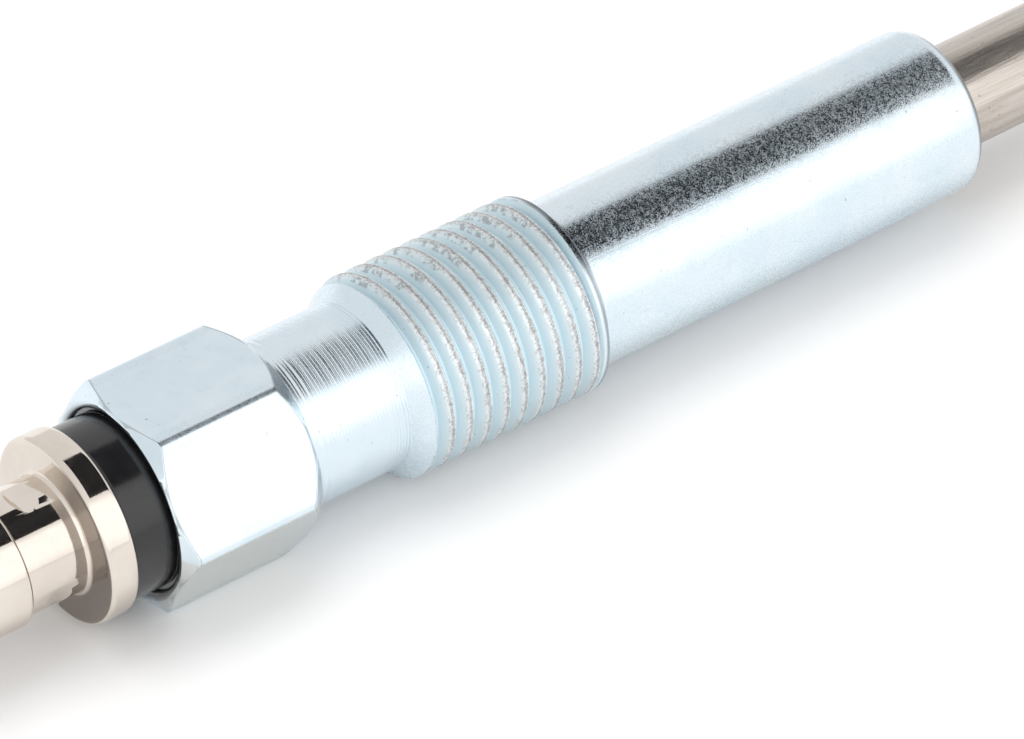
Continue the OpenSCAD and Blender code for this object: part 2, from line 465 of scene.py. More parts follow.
def dress(tree, shader, colour, rough, normal, metallic=1.0):
    """Gives the shader its colour, roughness, normal and metal."""
    feed(tree, shader.inputs["Base Color"], colour)
    feed(tree, shader.inputs["Roughness"], rough)
    feed(tree, shader.inputs["Normal"], normal)
    shader.inputs["Metallic"].default_value = metallic


# Masks by place on the plug, on object coordinates

def axis_places(tree, place):
    """Place along the axis and distance from it, in millimetres."""
    in_mm = add_node(tree, "ShaderNodeVectorMath", {0: place, "Scale": 1 / MM}, operation="SCALE").outputs[0]
    parts = add_node(tree, "ShaderNodeSeparateXYZ", {0: in_mm}).outputs
    across = add_node(tree, "ShaderNodeCombineXYZ", {"Y": parts["Y"], "Z": parts["Z"]}).outputs[0]
    radius = add_node(tree, "ShaderNodeVectorMath", {0: across}, operation="LENGTH").outputs["Value"]
    return parts["X"], radius


def turn_angle(tree, place):
    """Angle round the axis from the top towards the front, in radians."""
    parts = add_node(tree, "ShaderNodeSeparateXYZ", {0: place}).outputs
    to_front = product(tree, parts["Y"], -1.0)
    return math_node(tree, "ARCTAN2", to_front, parts["Z"])


def turn_band(tree, angle, low, high, soft):
    """1 between two angles round the axis, given in degrees, with a soft edge in radians."""
    return between(tree, angle, math.radians(low), math.radians(high), soft)


def thread_phase(tree, place, x):
    """Distance along the axis from the nearest crest of the right-handed thread, in millimetres."""
    pitches = mul_add(tree, x, 1 / THREAD_PITCH, -CREST_ON_TOP / THREAD_PITCH)
    turns = product(tree, turn_angle(tree, place), -0.5 / math.pi)
    pitches = total(tree, pitches, turns)
    whole = math_node(tree, "ROUND", pitches)
    return product(tree, math_node(tree, "SUBTRACT", pitches, whole), THREAD_PITCH)


def colour_ramp(tree, value, low, high, stops):
    """Colour that follows a value through (place, colour) stops, of which the first two are the ends."""
    share = add_node(tree, "ShaderNodeMapRange", {"Value": value, "From Min": low, "From Max": high})
    ramp = add_node(tree, "ShaderNodeValToRGB", {"Fac": share.outputs["Result"]})
    elements = ramp.color_ramp.elements
    for index, (stop, colour) in enumerate(stops):
        position = (stop - low) / (high - low)
        element = elements[index] if index < 2 else elements.new(position)
        element.position = position
        element.color = (*colour, 1)
    return ramp.outputs["Color"]


def chamfer_slope(chamfer):
    """Length of a hexagon's chamfer along the axis for each millimetre of radius."""
    return chamfer / (HEX_CORNER_R - HEX_CHAMFER_R)


def cone_distance(tree, x, radius, end, chamfer, way):
    """Distance along the axis from a chamfer's cone into the hexagon, in millimetres."""
    slope = chamfer_slope(chamfer)
    cone = mul_add(tree, radius, slope, -slope * HEX_CHAMFER_R)
    return math_node(tree, "SUBTRACT", mul_add(tree, x, way, -way * end), cone)


# Zinc plate of the shell. A band is its start, its end and its soft edge, in millimetres along the axis: from
# the origin, from a crest or from a chamfer's cone. A turn is in degrees, with its soft edge in radians.

ZINC_COOL = (0.70, 0.80, 0.865, 1)
ZINC_PALE = (0.75, 0.835, 0.885, 1)
ZINC_SMUDGE = (0.56, 0.64, 0.69, 1)
ZINC_FLECK = (0.3, 0.31, 0.33, 1)
# Painted dark reflection on the barrel's rounded end.
BARREL_LIP_REFLECTION_TINT = (0.2, 0.215, 0.23, 1)
# Painted dark reflection on the chamfer at the thread's end.
END_CHAMFER_REFLECTION_TINT = (0.2, 0.22, 0.24, 1)
# Painted dark reflection on the thread's end ring and chamfer, on the upper front only.
THREAD_END_REFLECTION_TINT = (0.16, 0.175, 0.19, 1)
# Painted shade in the recess round the collar.
RECESS_SHADE_TINT = (0.06, 0.063, 0.067, 1)
DENT_TINT = (0.4, 0.4, 0.4, 1)
# Painted dark reflection in patches on the left lips of the thread's upper side.
LIP_REFLECTION_TINT = (0.24, 0.25, 0.26, 1)
PIT_TINT = (0.36, 0.345, 0.335, 1)
# Painted shade on the hexagon's lower front flat: greyer and less blue.
LOW_FLAT_SHADE_TINT = (0.61, 0.62, 0.59, 1)
# Painted shade in thin lines along the edges between the hexagon's flats and its chamfers.
CHAMFER_EDGE_SHADE_TINT = (0.36, 0.4, 0.42, 1)
# Painted dark reflection in the corner behind the hexagon, on its upper front.
CORNER_REFLECTION_TINT = (0.1, 0.105, 0.11, 1)

HALF_PITCH = THREAD_PITCH / 2
# Colour across one tooth of the thread: pale blue plate, with painted shade in the crest's seam and on the
# right flank, and a painted highlight on the right lip.
TOOTH_TINTS_AND_PAINTED_LIGHT = (
    (-HALF_PITCH, (0.71, 0.835, 0.885)), (HALF_PITCH, (0.71, 0.835, 0.885)),
    (-0.34, (0.67, 0.785, 0.83)), (-0.2, (0.69, 0.77, 0.8)), (-0.08, (0.75, 0.78, 0.795)),
    (0.0, (0.7, 0.72, 0.735)), (0.06, (0.56, 0.58, 0.6)), (0.13, (0.6, 0.63, 0.65)),
    (0.2, (0.95, 0.97, 0.975)), (0.3, (0.95, 0.965, 0.97)), (0.42, (0.65, 0.75, 0.795)))
LAND_BAND = (-0.03, 0.13, 0.05)
CREST_BAND = (-0.28, 0.12, 0.05)
LIPS_BAND = (-0.16, 0.28, 0.1)
LEFT_LIP_BAND = (-0.32, -0.1, 0.06)
LIP_REFLECTION_TURN = (-34, 4, 0.1)
THREAD_END_REFLECTION_TURN = (-8, 36, 0.25)
LOW_FLAT_SHADE_TURN = (93, 147, 0.05)
CORNER_REFLECTION_TURN = (15, 33, 0.1)
CHAMFER_EDGE_SHADE_BAND = (0.03, 0.09, 0.02)
CORNER_REFLECTION_CONE_BAND = (-0.06, 0.015, 0.01)
CHAMFER_EDGE = (HEX_CHAMFER_R, HEX_CHAMFER_R + 0.05)
FILLET_BAND = (HEX_END - 0.03, HEX_END + 0.25, 0.1)
THREAD_BAND = (0.1, THREAD_LEN - END_RING, 0.1)
NECK_BAND = (HEX_END, -THREAD_RUNOUT - 0.1, 0.1)
END_CHAMFER_BAND = (THREAD_LEN - 0.1, BARREL_START - 0.05, 0.12)
THREAD_END_REFLECTION_BAND = (THREAD_LEN - 0.22, BARREL_START, 0.12)

# Places between which a mask rises or falls
HEX_FALL = (HEX_END - 0.1, HEX_END)
CORNER_RISE = (HEX_CORNER_R - 0.5, HEX_CORNER_R - 0.3)
BARREL_LIP_RISE = (BARREL_END - 0.75, BARREL_END - 0.5)
END_CHAMFER_RISE = (BARREL_R + 0.1, BARREL_R + 0.25)
RECESS_FALL = (COLLAR_R + RECESS_GAP, HEX_CHAMFER_R - 0.1)
RECESS_END_FALL = (HEX_FACE + 0.6, HEX_FACE + 0.8)
DENT_LEVELS = (0.74, 0.84)
PIT_LEVELS = (0.7, 0.88)
REFLECTION_PATCH_LEVELS = (0.48, 0.6)
MOTTLE_LEVELS = (0.6, 0.92)

HEX_COVER = 0.7
ZINC_SQUEEZE = (1.3, 1.0, 1.0)
TURNING_STRETCH = (1.0, 0.03, 0.03)
ZINC_ROUGH = 0.075
MOTTLE_ROUGH = 0.25
MOTTLE_BASE = 0.06
SMUDGE_ROUGH = 0.08
PLAIN_GRAIN = 0.14
GRAIN_BASE = 0.06
TURNING_HEIGHT = 0.3
ZINC_BUMP = 0.00003


def hex_painted_shade(tree, place, x, radius):
    """Masks of painted shade in thin lines beside the hexagon's chamfers, and of a painted dark reflection in
    one corner behind it.
    """
    front = cone_distance(tree, x, radius, HEX_FACE, HEX_FRONT_CHAMFER, 1)
    back = cone_distance(tree, x, radius, HEX_END, HEX_BACK_CHAMFER, -1)
    outside = remap(tree, radius, *CHAMFER_EDGE)
    # Painted shade in thin lines on the flats next to each chamfer.
    front_line = between(tree, front, *CHAMFER_EDGE_SHADE_BAND)
    back_line = between(tree, back, *CHAMFER_EDGE_SHADE_BAND)
    lines = product(tree, larger(tree, front_line, back_line), outside)
    # Painted dark reflection on the back chamfer's cone and in the fillet, on the upper front only.
    on_cone = product(tree, between(tree, back, *CORNER_REFLECTION_CONE_BAND), outside)
    in_fillet = between(tree, x, *FILLET_BAND)
    angle = total(tree, turn_angle(tree, place), wobble(tree, place, scale=1400.0, reach=0.3))
    corner = turn_band(tree, angle, *CORNER_REFLECTION_TURN)
    return lines, product(tree, corner, larger(tree, on_cone, in_fillet))


def zinc_plate():
    """Pale blue zinc plate: mottled on the barrel, ringed on the neck, matt and worn on the thread, with
    painted shade, highlights and dark reflections in places.
    """
    material, tree, shader, place = new_material("zinc_plate")
    x, radius = axis_places(tree, place)
    angle = turn_angle(tree, place)
    on_thread = between(tree, x, *THREAD_BAND)
    on_neck = between(tree, x, *NECK_BAND)
    on_hex = remap(tree, x, *HEX_FALL, 1.0, 0.0)
    hex_corner = product(tree, on_hex, remap(tree, radius, *CORNER_RISE))
    covered = larger(tree, larger(tree, on_neck, on_thread), product(tree, on_hex, HEX_COVER))
    plain = math_node(tree, "SUBTRACT", 1.0, covered)

    tone = tone_of(tree, place, ZINC_COOL, ZINC_PALE, scale=260.0)
    grain = grain_of(tree, stretch(tree, place, ZINC_SQUEEZE), scale=10000.0, coarseness=0.5)
    wear = grain_of(tree, place, scale=7500.0, coarseness=0.5)
    flecks = flecks_of(tree, place, scale=2600.0, threshold=0.72)
    rings = noise(tree, stretch(tree, place, TURNING_STRETCH), scale=9000.0, detail=2.0)

    phase = total(tree, thread_phase(tree, place, x), wobble(tree, place, scale=900.0, reach=0.1))
    # Tooth colour with painted shade in the crest's seam and on the right flank, and a painted highlight on
    # the right lip.
    tooth_tints_and_painted_light = colour_ramp(tree, phase, -HALF_PITCH, HALF_PITCH, TOOTH_TINTS_AND_PAINTED_LIGHT)
    land = product(tree, on_thread, between(tree, phase, *LAND_BAND))
    crest = product(tree, on_thread, between(tree, phase, *CREST_BAND))
    lips = product(tree, on_thread, between(tree, phase, *LIPS_BAND))
    left_lip = product(tree, on_thread, between(tree, phase, *LEFT_LIP_BAND))
    dents = product(tree, lips, remap(tree, wear, *DENT_LEVELS))
    pits = product(tree, land, remap(tree, wear, *PIT_LEVELS))
    # Painted dark reflection in patches on the left lips of the thread, on its upper side only.
    reflection_patches = noise(tree, place, scale=1700.0, detail=4.0, rough=0.7)
    reflection_patches = remap(tree, reflection_patches, *REFLECTION_PATCH_LEVELS)
    lip_reflection = product(tree, turn_band(tree, angle, *LIP_REFLECTION_TURN), reflection_patches)
    lip_reflection = product(tree, lip_reflection, left_lip)

    # Painted dark reflection: the barrel's rounded end is darkened all round.
    barrel_lip_reflection = remap(tree, x, *BARREL_LIP_RISE)
    # Painted dark reflection on the chamfer between the thread and the barrel, all round.
    end_chamfer_reflection = between(tree, x, *END_CHAMFER_BAND)
    end_chamfer_reflection = product(tree, end_chamfer_reflection, remap(tree, radius, *END_CHAMFER_RISE))
    # Painted dark reflection at the thread's end, limited to the upper front angles.
    thread_end_reflection = between(tree, x, *THREAD_END_REFLECTION_BAND)
    thread_end_reflection = product(tree, thread_end_reflection, turn_band(tree, angle, *THREAD_END_REFLECTION_TURN))
    # Painted shade in the recess round the collar, darkest next to it.
    recess_shade = remap(tree, radius, *RECESS_FALL, 1.0, 0.0)
    recess_shade = product(tree, recess_shade, remap(tree, x, *RECESS_END_FALL, 1.0, 0.0))
    # Painted shade: the hexagon's lower front flat is tinted grey.
    low_flat_shade = product(tree, turn_band(tree, angle, *LOW_FLAT_SHADE_TURN), on_hex)
    # Painted shade along the hexagon's chamfer edges, and a painted dark reflection in its back corner.
    chamfer_edge_shade, corner_reflection = hex_painted_shade(tree, place, x, radius)

    colour = stain(tree, tone["Color"], tone["Smudge"], 0.22, ZINC_SMUDGE)
    colour = mix_colour(tree, on_thread, colour, tooth_tints_and_painted_light)
    # Lays the painted reflections and painted shade, and the plate's own dents, pits and flecks, over the
    # tone.
    for mask, strength, tint in (
            (barrel_lip_reflection, 0.8, BARREL_LIP_REFLECTION_TINT), (end_chamfer_reflection, 0.7, END_CHAMFER_REFLECTION_TINT),
            (thread_end_reflection, 0.7, THREAD_END_REFLECTION_TINT), (recess_shade, 0.85, RECESS_SHADE_TINT), (dents, 0.5, DENT_TINT),
            (lip_reflection, 0.6, LIP_REFLECTION_TINT), (pits, 0.75, PIT_TINT), (flecks, 0.55, ZINC_FLECK),
            (low_flat_shade, 0.75, LOW_FLAT_SHADE_TINT), (chamfer_edge_shade, 0.6, CHAMFER_EDGE_SHADE_TINT),
            (corner_reflection, 0.65, CORNER_REFLECTION_TINT)):
        colour = stain(tree, colour, mask, strength, tint)

    mottle = mul_add(tree, remap(tree, grain, *MOTTLE_LEVELS), MOTTLE_ROUGH, MOTTLE_BASE)
    mottle = mul_add(tree, tone["Smudge"], SMUDGE_ROUGH, mottle)
    rough = mul_add(tree, mottle, plain, ZINC_ROUGH)
    for mask, change in ((on_neck, 0.17), (hex_corner, 0.18), (on_thread, 0.5), (crest, -0.14)):
        rough = mul_add(tree, mask, change, rough)

    height = product(tree, grain, mul_add(tree, plain, PLAIN_GRAIN, GRAIN_BASE))
    height = mul_add(tree, product(tree, rings, on_neck), TURNING_HEIGHT, height)
    height = mul_add(tree, land, wear, height)
    dress(tree, shader, colour, rough, bump_normal(tree, height, ZINC_BUMP))
    return material


# Finishes of the other pieces

NICKEL_DEEP = (0.71, 0.64, 0.57, 1)
NICKEL_PALE = (0.77, 0.705, 0.635, 1)
NICKEL_FLECK = (0.25, 0.23, 0.21, 1)
NICKEL_BUMP = 0.0000015
# Painted shade on the lower front part of the flange's face.
FLANGE_FACE_SHADE_TINT = (0.22, 0.19, 0.17, 1)
FLANGE_FACE_SHADE_MIDDLE = math.radians(110)
FLANGE_FACE_SHADE_FULL = math.radians(80)
FLANGE_FACE_SHADE_END = math.radians(110)
FACE_BAND = (FLANGE_FRONT - 0.05, FLANGE_FRONT + 0.05, 0.02)
FACE_RISE = (WAIST_R + 0.12, WAIST_R + 0.3)
SHEATH_DEEP = (0.47, 0.425, 0.38, 1)
SHEATH_PALE = (0.60, 0.55, 0.505, 1)
SHEATH_FLECK = (0.16, 0.14, 0.12, 1)
SHEATH_STRETCH = (0.06, 1.0, 1.0)
SHEATH_BUMP = 0.000014
BLACK_DEEP = (0.007, 0.007, 0.008, 1)
BLACK_PALE = (0.012, 0.012, 0.013, 1)
BLACK_GLOSS = 0.62
BLACK_BUMP = 0.000003
INNER_GRAIN_RATIO = 12
INNER_BUMP = 0.000008


def bright_nickel():
    """Warm bright nickel plate with faint handling marks, and painted shade low on the flange's face."""
    material, tree, shader, place = new_material("bright_nickel")
    x, radius = axis_places(tree, place)
    tone = tone_of(tree, place, NICKEL_DEEP, NICKEL_PALE, scale=320.0)
    grain = grain_of(tree, place, scale=2600.0, coarseness=0.6)
    flecks = flecks_of(tree, place, scale=2400.0, threshold=0.76)
    on_face = product(tree, between(tree, x, *FACE_BAND), remap(tree, radius, *FACE_RISE))
    # Painted shade, darkest low at the front of the flange's face.
    from_low = math_node(tree, "ABSOLUTE", total(tree, turn_angle(tree, place), -FLANGE_FACE_SHADE_MIDDLE))
    flange_face_shade = product(tree, on_face, remap(tree, from_low, FLANGE_FACE_SHADE_FULL, FLANGE_FACE_SHADE_END, 1.0, 0.0))
    colour = stain(tree, tone["Color"], flecks, 0.7, NICKEL_FLECK)
    colour = stain(tree, colour, flange_face_shade, 0.88, FLANGE_FACE_SHADE_TINT)
    rough = mul_add(tree, tone["Smudge"], factor=0.06, offset=0.07)
    dress(tree, shader, colour, rough, bump_normal(tree, grain, NICKEL_BUMP))
    return material


def drawn_sheath():
    """Warm grey heat-proof steel, drawn and polished lengthwise."""
    material, tree, shader, place = new_material("drawn_sheath")
    drawn = stretch(tree, place, SHEATH_STRETCH)
    tone = tone_of(tree, drawn, SHEATH_DEEP, SHEATH_PALE, scale=1500.0)
    grain = grain_of(tree, drawn, scale=6000.0, coarseness=0.5)
    flecks = flecks_of(tree, place, scale=2800.0, threshold=0.68)
    colour = stain(tree, tone["Color"], flecks, 0.5, SHEATH_FLECK)
    rough = mul_add(tree, tone["Smudge"], factor=0.1, offset=0.25)
    dress(tree, shader, colour, rough, bump_normal(tree, grain, SHEATH_BUMP))
    return material


def black_moulding():
    """Satin black insulating plastic."""
    material, tree, shader, place = new_material("black_moulding")
    tone = tone_of(tree, place, BLACK_DEEP, BLACK_PALE, scale=500.0)
    grain = grain_of(tree, place, scale=5000.0, coarseness=0.4)
    rough = mul_add(tree, tone["Smudge"], factor=0.06, offset=0.16)
    shader.inputs["Specular IOR Level"].default_value = BLACK_GLOSS
    dress(tree, shader, tone["Color"], rough, bump_normal(tree, grain, BLACK_BUMP), metallic=0.0)
    return material


def inner_finish(name, first, second, metallic, roughness, scale):
    """Plain finish of a piece inside the plug: two tones and a fine grain."""
    material, tree, shader, place = new_material(name)
    tone = tone_of(tree, place, first, second, scale)
    grain = grain_of(tree, place, INNER_GRAIN_RATIO * scale, coarseness=0.4)
    dress(tree, shader, tone["Color"], roughness, bump_normal(tree, grain, INNER_BUMP), metallic)
    return material


# The visible pieces

def neck_outline():
    """Neck with its fillet at the hexagon and the fine grooves that the turning tool left."""
    x = HEX_END + NECK_FILLET
    points = arc((x, NECK_R + NECK_FILLET), NECK_FILLET, NECK_FILLET_START, 270, NECK_FILLET_STEPS)
    room = NECK_OVERLAP - THREAD_RUNOUT - x - WIDE_GROOVES * WIDE_GROOVE_PITCH
    for i in range(WIDE_GROOVES + int(room / GROOVE_PITCH)):
        pitch, depth = WIDE_GROOVE_PITCH, WIDE_GROOVE_DEPTH
        if i >= WIDE_GROOVES:
            pitch = GROOVE_PITCH
            depth = GROOVE_DEPTH * (1 + GROOVE_SWING * math.sin(GROOVE_BEAT * i))
        for part in range(1, GROOVE_STEPS + 1):
            cut = depth * math.sin(math.pi * part / GROOVE_STEPS) ** 2
            points.append((x + part * pitch / GROOVE_STEPS, NECK_R - cut))
        x += pitch
    return points


def core_outline():
    """Outside of the shell without its hexagon and thread, from the hexagon to the barrel's end."""
    inside_hex = HEX_FACE + HEX_LEN / 2
    neck = neck_outline()
    end_centre = (BARREL_END - BARREL_ROUND, BARREL_R - BARREL_ROUND)
    points = [(inside_hex, 0), (inside_hex, neck[0][1])] + neck
    points += [(-CORE_SHARE * THREAD_RUNOUT, NECK_R), (CORE_SHARE * THREAD_LEN, BARREL_R)]
    points += arc(end_centre, BARREL_ROUND, 90, 0, BARREL_ROUND_STEPS)
    return points + [(BARREL_END, 0)]


def tooth_outline():
    """One pitch of rolled thread from root to root, with a shallow seam between the crest's rounded lips."""
    root = THREAD_ROOT_ROUND
    root_r = THREAD_R - THREAD_DEPTH + root
    left = (LEFT_LIP_PLACE, THREAD_R - LEFT_LIP_ROUND)
    right = (SEAM_PLACE + RIGHT_LIP_GAP, THREAD_R - RIGHT_LIP_ROUND)
    flank = math.degrees(THREAD_FLANK)
    points = arc((-THREAD_PITCH / 2, root_r), root, 270, 360 - flank, THREAD_ROOT_STEPS)
    points += arc(left, LEFT_LIP_ROUND, 180 - flank, LEFT_LIP_TOP, LIP_STEPS)
    points += [(SEAM_PLACE - SEAM_SIDE, THREAD_R - SEAM_SIDE_DEPTH), (SEAM_PLACE, THREAD_R - SEAM_DEPTH)]
    points += arc(right, RIGHT_LIP_ROUND, RIGHT_LIP_TOP, flank, LIP_STEPS)
    points += arc((THREAD_PITCH / 2, root_r), root, 180 + flank, 270, THREAD_ROOT_STEPS)
    return points


def thread_sleeve():
    """Thread over its blank: a screwed tooth, sawn off at both ends and trimmed by the blank's cones."""
    turns = TURNS_BEFORE + TURNS_AFTER + math.ceil(THREAD_LEN / THREAD_PITCH)
    start = CREST_ON_TOP - TURNS_BEFORE * THREAD_PITCH
    sawn_start = -THREAD_RUNOUT - SAW_OVERLAP
    sawn_end = BARREL_START + SAW_OVERLAP
    sleeve = draw_outline("thread", [(start + x, r) for x, r in tooth_outline()])
    apply_modifier(sleeve, "SCREW", axis="X", angle=2 * math.pi, screw_offset=THREAD_PITCH, iterations=turns,
                   steps=FINE_STEPS, render_steps=FINE_STEPS, use_normal_calculate=True)
    in_edit_mode(sleeve)
    bpy.ops.mesh.remove_doubles(threshold=MERGE_DISTANCE)
    for place, way in ((sawn_start, -1), (sawn_end, 1)):
        bpy.ops.mesh.select_all(action="SELECT")
        bpy.ops.mesh.bisect(plane_co=(place, 0, 0), plane_no=(way, 0, 0), use_fill=True, clear_outer=True)
    bpy.ops.object.mode_set(mode="OBJECT")
    close_mesh(sleeve)
    ring_start = THREAD_LEN - END_RING
    ring_r = THREAD_R - END_RING_STEP
    ring = turn_outline("end_ring", [
        (ring_start - END_RING_RISE, 0), (ring_start - END_RING_RISE, ring_r - THREAD_DEPTH),
        (ring_start, ring_r), (sawn_end, ring_r), (sawn_end, 0)], *END_RING_TURN)
    combine(sleeve, ring, "UNION")
    rise = (THREAD_R - NECK_R) / THREAD_RUNOUT
    fall = (THREAD_R - BARREL_R) / THREAD_CHAMFER
    over_r = THREAD_R + BLANK_OVER
    blank_start = -THREAD_RUNOUT - BLANK_REACH
    blank_end = BARREL_START + BLANK_REACH
    blank = turn_outline("blank", [
        (blank_start, 0), (blank_start, NECK_R - BLANK_REACH * rise),
        (BLANK_OVER / rise, over_r), (THREAD_LEN - BLANK_OVER / fall, over_r),
        (blank_end, BARREL_R - BLANK_REACH * fall), (blank_end, 0)], *BLANK_TURN)
    combine(sleeve, blank, "INTERSECT")
    return sleeve


def hex_head():
    """Hexagon with chamfered ends and lightly worn edges."""
    middle = (HEX_FACE + HEX_END) / 2
    bpy.ops.object.select_all(action="DESELECT")
    bpy.ops.mesh.primitive_cylinder_add(vertices=6, radius=HEX_CORNER_R, depth=HEX_LEN,
                                        location=(middle, 0, 0), rotation=(0, math.pi / 2, 0))
    head = bpy.context.active_object
    head.name = "hex_head"
    bpy.ops.object.transform_apply(location=True, rotation=True, scale=True)
    in_edit_mode(head)
    bpy.ops.mesh.select_all(action="DESELECT")
    bpy.ops.object.mode_set(mode="OBJECT")
    for edge in head.data.edges:
        ends = [head.data.vertices[i].co.x for i in edge.vertices]
        edge.select = abs(ends[0] - ends[1]) > 0.5 * HEX_LEN
    bpy.ops.object.mode_set(mode="EDIT")
    bpy.ops.mesh.select_mode(type="EDGE")
    bpy.ops.mesh.bevel(offset=HEX_EDGE_ROUND, segments=HEX_EDGE_STEPS)
    bpy.ops.mesh.select_mode(type="VERT")
    bpy.ops.object.mode_set(mode="OBJECT")
    over_r = HEX_CORNER_R + OVERSHOOT
    rise = over_r - HEX_CHAMFER_R
    chamfers = turn_outline("chamfers", [
        (HEX_FACE, 0), (HEX_FACE, HEX_CHAMFER_R),
        (HEX_FACE + chamfer_slope(HEX_FRONT_CHAMFER) * rise, over_r),
        (HEX_END - chamfer_slope(HEX_BACK_CHAMFER) * rise, over_r),
        (HEX_END, HEX_CHAMFER_R), (HEX_END, 0)], *CHAMFER_TURN)
    combine(head, chamfers, "INTERSECT")
    close_mesh(head)
    return head


def shell_bore():
    """Stepped hole through the shell, with a rounded mouth round the collar."""
    recess_r = COLLAR_R + RECESS_GAP
    points = [(HEX_FACE - OVERSHOOT, 0), (HEX_FACE - OVERSHOOT, MOUTH_R)]
    points += [(HEX_FACE + MOUTH_DEPTH * (1 + x), MOUTH_R + (MOUTH_R - recess_r) * y)
               for x, y in arc((0, 0), 1, 180, 270, MOUTH_STEPS)]
    points += [(RECESS_SEAT, recess_r), (RECESS_SEAT, COUNTERBORE_R), (COUNTERBORE_END, COUNTERBORE_R)]
    points += [(COUNTERBORE_END, ROD_BORE_R), (SHEATH_START, ROD_BORE_R), (SHEATH_START, SHEATH_R)]
    points += [(BARREL_END + OVERSHOOT, SHEATH_R), (BARREL_END + OVERSHOOT, 0)]
    return turn_outline("shell_bore", points, *BORE_TURN)


def make_shell(material):
    """Shell: the turned core, joined with its thread and hexagon and then bored."""
    shell = turn_outline("shell_body", core_outline(), *CORE_TURN)
    combine(shell, thread_sleeve(), "UNION")
    combine(shell, hex_head(), "UNION")
    combine(shell, shell_bore(), "DIFFERENCE")
    close_mesh(shell)
    finish_piece(shell, "shell", material, smooth_angle=28)


def flange_outline():
    """Flange from its back face to its front face, with rounded edges."""
    edge_r = FLANGE_R - FLANGE_EDGE
    back = FLANGE_BACK - FLANGE_EDGE
    front = FLANGE_FRONT + FLANGE_EDGE
    points = [(FLANGE_BACK, edge_r)]
    points += arc((back, edge_r), FLANGE_EDGE, 0, 90, FLANGE_EDGE_STEPS)[1:]
    points += [(back - FLANGE_EDGE_LAND, FLANGE_R), (front + FLANGE_EDGE_LAND, FLANGE_R)]
    points += arc((front, edge_r), FLANGE_EDGE, 90, 180, FLANGE_EDGE_STEPS)
    return points + [(FLANGE_FRONT, edge_r - FLANGE_EDGE_LAND)]


def make_terminal(material):
    """Flange, waist and bullet, turned in one and crimped by three round dies."""
    waist_corner = (FLANGE_FRONT - WAIST_FILLET, WAIST_R + WAIST_FILLET)
    shoulder = (BULLET_START - SHOULDER_ROUND, BULLET_R - SHOULDER_ROUND)
    nose = (BULLET_END + BULLET_ROUND, BULLET_R - BULLET_ROUND)
    points = [(ROD_START, 0), (ROD_START, ROD_R), (FLANGE_BACK, ROD_R)] + flange_outline()
    points += arc(waist_corner, WAIST_FILLET, 0, -90, WAIST_FILLET_STEPS)
    points += [(BULLET_START, WAIST_R)]
    points += arc(shoulder, SHOULDER_ROUND, 0, 90, SHOULDER_STEPS)
    points += arc(nose, BULLET_ROUND, 90, 180, BULLET_ROUND_STEPS)
    points += [(BULLET_END, 0)]
    terminal = turn_outline("terminal_bullet", points)
    die_place = ((BULLET_START + FLANGE_FRONT) / 2, 0, WAIST_R + CRIMP_DIE_R - CRIMP_DEPTH)
    for angle in CRIMP_ANGLES:
        bpy.ops.object.select_all(action="DESELECT")
        bpy.ops.mesh.primitive_cylinder_add(vertices=CRIMP_DIE_STEPS, radius=CRIMP_DIE_R, depth=4 * WAIST_R,
                                            location=die_place, rotation=(math.pi / 2, 0, 0))
        die = bpy.context.active_object
        bpy.ops.object.transform_apply(location=True, rotation=True, scale=True)
        turn_about_axis(die, angle)
        bpy.ops.object.mode_set(mode="OBJECT")
        combine(terminal, die, "DIFFERENCE")
    close_mesh(terminal)
    finish_piece(terminal, "terminal", material, smooth_angle=24)


def make_insulator(material):
    """Black collar with a spigot in the counterbore."""
    spigot_r = COUNTERBORE_R - SLIDE_GAP
    hole_r = ROD_R + SLIDE_GAP
    edge_r = COLLAR_R - COLLAR_EDGE
    points = [(FLANGE_BACK, hole_r), (FLANGE_BACK, edge_r)]
    points += arc((FLANGE_BACK + COLLAR_EDGE, edge_r), COLLAR_EDGE, 180, 90, COLLAR_EDGE_STEPS)[1:]
    points += arc((RECESS_SEAT - COLLAR_EDGE, edge_r), COLLAR_EDGE, 90, 0, COLLAR_EDGE_STEPS)
    points += [(RECESS_SEAT, spigot_r), (SPIGOT_END, spigot_r), (SPIGOT_END, hole_r), (FLANGE_BACK, hole_r)]
    collar = turn_outline("insulator_collar", points)
    finish_piece(collar, "insulator", material, smooth_angle=40)


def make_sheath(material):
    """Closed tube with a half-ball tip."""
    inner_r = SHEATH_R - SHEATH_WALL
    tip_centre = (SHEATH_TIP - SHEATH_R, 0)
    points = [(SHEATH_START, inner_r), (SHEATH_START, SHEATH_R)]
    points += arc(tip_centre, SHEATH_R, 90, 0, TIP_STEPS)
    points += arc(tip_centre, inner_r, 0, 90, TIP_INNER_STEPS)
    points += [(SHEATH_START, inner_r)]
    sheath = turn_outline("sheath_tube", points, SHEATH_STEPS)
    finish_piece(sheath, "heater_sheath", material)


# Node of each hidden piece, with its finish: name, two tones, metal, roughness and scale of the tones.
INNER_FINISHES = {
    "heating_coil": ("heating_wire", (0.36, 0.35, 0.33, 1), (0.46, 0.44, 0.41, 1), 1.0, 0.42, 900.0),
    "regulating_coil": ("regulating_wire", (0.48, 0.45, 0.4, 1), (0.56, 0.52, 0.46, 1), 1.0, 0.38, 900.0),
    "magnesia_fill": ("packed_magnesia", (0.82, 0.8, 0.75, 1), (0.9, 0.88, 0.84, 1), 0.0, 0.9, 1500.0),
    "sheath_seal": ("seal_rubber", (0.03, 0.03, 0.03, 1), (0.05, 0.05, 0.05, 1), 0.0, 0.7, 800.0),
    "centre_rod": ("rod_steel", (0.45, 0.45, 0.46, 1), (0.55, 0.55, 0.56, 1), 1.0, 0.3, 700.0),
    "o_ring": ("ring_rubber", (0.025, 0.025, 0.025, 1), (0.04, 0.04, 0.04, 1), 0.0, 0.55, 800.0),
}


